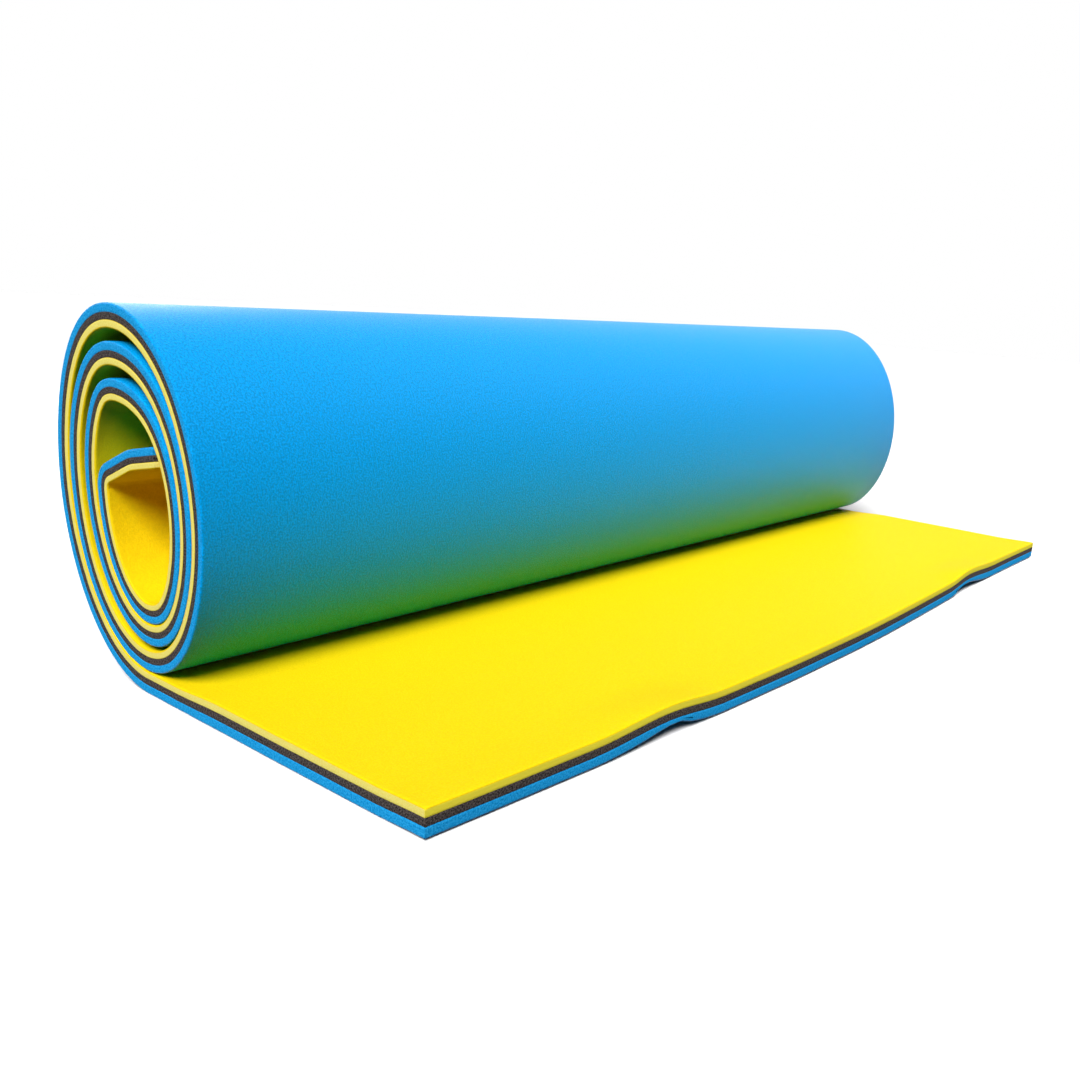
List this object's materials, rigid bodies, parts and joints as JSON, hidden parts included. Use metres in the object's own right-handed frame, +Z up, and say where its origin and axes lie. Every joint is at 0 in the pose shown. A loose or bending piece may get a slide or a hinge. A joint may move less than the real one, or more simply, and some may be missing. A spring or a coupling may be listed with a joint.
{
  "type": "swim float mat",
  "caption": "Foam swim float mat, rolled up with its free end lying flat; laminated yellow, charcoal and blue plies.",
  "frame": {"origin": "under the middle of the rolled mat's footprint, at the height of the floor", "axes": "+X from the roll towards the free end, +Y along the roll, +Z up"},
  "size_m": [0.7272, 1.829, 0.4654],
  "materials": {
    "blue_foam": "closed-cell foam skin, satin, fine orange-peel grain",
    "charcoal_foam": "cut closed-cell foam, matt, speckled",
    "yellow_foam": "closed-cell foam skin, satin, fine orange-peel grain"
  },
  "bodies": {
    "base": {"base_blue_ply": "blue_foam", "base_core_ply": "charcoal_foam", "base_yellow_ply": "yellow_foam"},
    "tail_1": {"tail_1_blue_ply": "blue_foam", "tail_1_core_ply": "charcoal_foam", "tail_1_yellow_ply": "yellow_foam"},
    "tail_2": {"tail_2_blue_ply": "blue_foam", "tail_2_core_ply": "charcoal_foam", "tail_2_yellow_ply": "yellow_foam"},
    "tail_3": {"tail_3_blue_ply": "blue_foam", "tail_3_core_ply": "charcoal_foam", "tail_3_yellow_ply": "yellow_foam"},
    "tail_4": {"tail_4_blue_ply": "blue_foam", "tail_4_core_ply": "charcoal_foam", "tail_4_yellow_ply": "yellow_foam"},
    "tail_5": {"tail_5_blue_ply": "blue_foam", "tail_5_core_ply": "charcoal_foam", "tail_5_yellow_ply": "yellow_foam"},
    "rise_1": {"rise_1_blue_ply": "blue_foam", "rise_1_core_ply": "charcoal_foam", "rise_1_yellow_ply": "yellow_foam"},
    "rise_2": {"rise_2_blue_ply": "blue_foam", "rise_2_core_ply": "charcoal_foam", "rise_2_yellow_ply": "yellow_foam"},
    "rise_3": {"rise_3_blue_ply": "blue_foam", "rise_3_core_ply": "charcoal_foam", "rise_3_yellow_ply": "yellow_foam"},
    "rise_4": {"rise_4_blue_ply": "blue_foam", "rise_4_core_ply": "charcoal_foam", "rise_4_yellow_ply": "yellow_foam"},
    "rise_5": {"rise_5_blue_ply": "blue_foam", "rise_5_core_ply": "charcoal_foam", "rise_5_yellow_ply": "yellow_foam"},
    "rise_6": {"rise_6_blue_ply": "blue_foam", "rise_6_core_ply": "charcoal_foam", "rise_6_yellow_ply": "yellow_foam"},
    "roll": {"roll_blue_ply": "blue_foam", "roll_core_ply": "charcoal_foam", "roll_yellow_ply": "yellow_foam"},
    "inner_end": {"inner_end_blue_ply": "blue_foam", "inner_end_core_ply": "charcoal_foam", "inner_end_yellow_ply": "yellow_foam"}
  },
  "joints": [
    {"name": "tail_curl", "type": "hinge", "parent": "base", "child": "tail_1", "pos_m": [-0.10435, 0, 0.03], "axis": [0, -1, 0], "range_deg": [0, 25]},
    {"name": "tail_curl_2", "type": "hinge", "parent": "tail_1", "child": "tail_2", "pos_m": [-0.01635, 0, 0.034], "axis": [0, -1, 0], "range_deg": [0, 25]},
    {"name": "tail_curl_3", "type": "hinge", "parent": "tail_2", "child": "tail_3", "pos_m": [0.07165, 0, 0.034], "axis": [0, -1, 0], "range_deg": [0, 25]},
    {"name": "tail_curl_4", "type": "hinge", "parent": "tail_3", "child": "tail_4", "pos_m": [0.15965, 0, 0.034], "axis": [0, -1, 0], "range_deg": [0, 25]},
    {"name": "tail_curl_5", "type": "hinge", "parent": "tail_4", "child": "tail_5", "pos_m": [0.24765, 0, 0.034], "axis": [0, -1, 0], "range_deg": [0, 25]},
    {"name": "unroll_1", "type": "hinge", "parent": "base", "child": "rise_1", "pos_m": [-0.16795, 0, 0], "axis": [0, -1, 0], "range_deg": [0, 7.4]},
    {"name": "unroll_2", "type": "hinge", "parent": "rise_1", "child": "rise_2", "pos_m": [-0.20742, 0, 0.00526], "axis": [0, -1, 0], "range_deg": [0, 14.8]},
    {"name": "unroll_3", "type": "hinge", "parent": "rise_2", "child": "rise_3", "pos_m": [-0.24754, 0, 0.022], "axis": [0, -1, 0], "range_deg": [0, 14.8]},
    {"name": "unroll_4", "type": "hinge", "parent": "rise_3", "child": "rise_4", "pos_m": [-0.28726, 0, 0.05273], "axis": [0, -1, 0], "range_deg": [0, 14.8]},
    {"name": "unroll_5", "type": "hinge", "parent": "rise_4", "child": "rise_5", "pos_m": [-0.32459, 0, 0.10185], "axis": [0, -1, 0], "range_deg": [0, 14.8]},
    {"name": "unroll_6", "type": "hinge", "parent": "rise_5", "child": "rise_6", "pos_m": [-0.35297, 0, 0.17102], "axis": [0, -1, 0], "range_deg": [0, 14.8]},
    {"name": "unroll_7", "type": "hinge", "parent": "rise_6", "child": "roll", "pos_m": [-0.36365, 0, 0.25255], "axis": [0, -1, 0], "range_deg": [0, 14.8]},
    {"name": "inner_end_lift", "type": "hinge", "parent": "roll", "child": "inner_end", "pos_m": [-0.26408, 0, 0.24455], "axis": [0, -1, 0], "range_deg": [0, 3.5]}
  ],
  "couplings": [
    {"joint": "tail_curl_2", "follows": "tail_curl", "ratio": 1},
    {"joint": "tail_curl_3", "follows": "tail_curl", "ratio": 1},
    {"joint": "tail_curl_4", "follows": "tail_curl", "ratio": 1},
    {"joint": "tail_curl_5", "follows": "tail_curl", "ratio": 1}
  ]
}
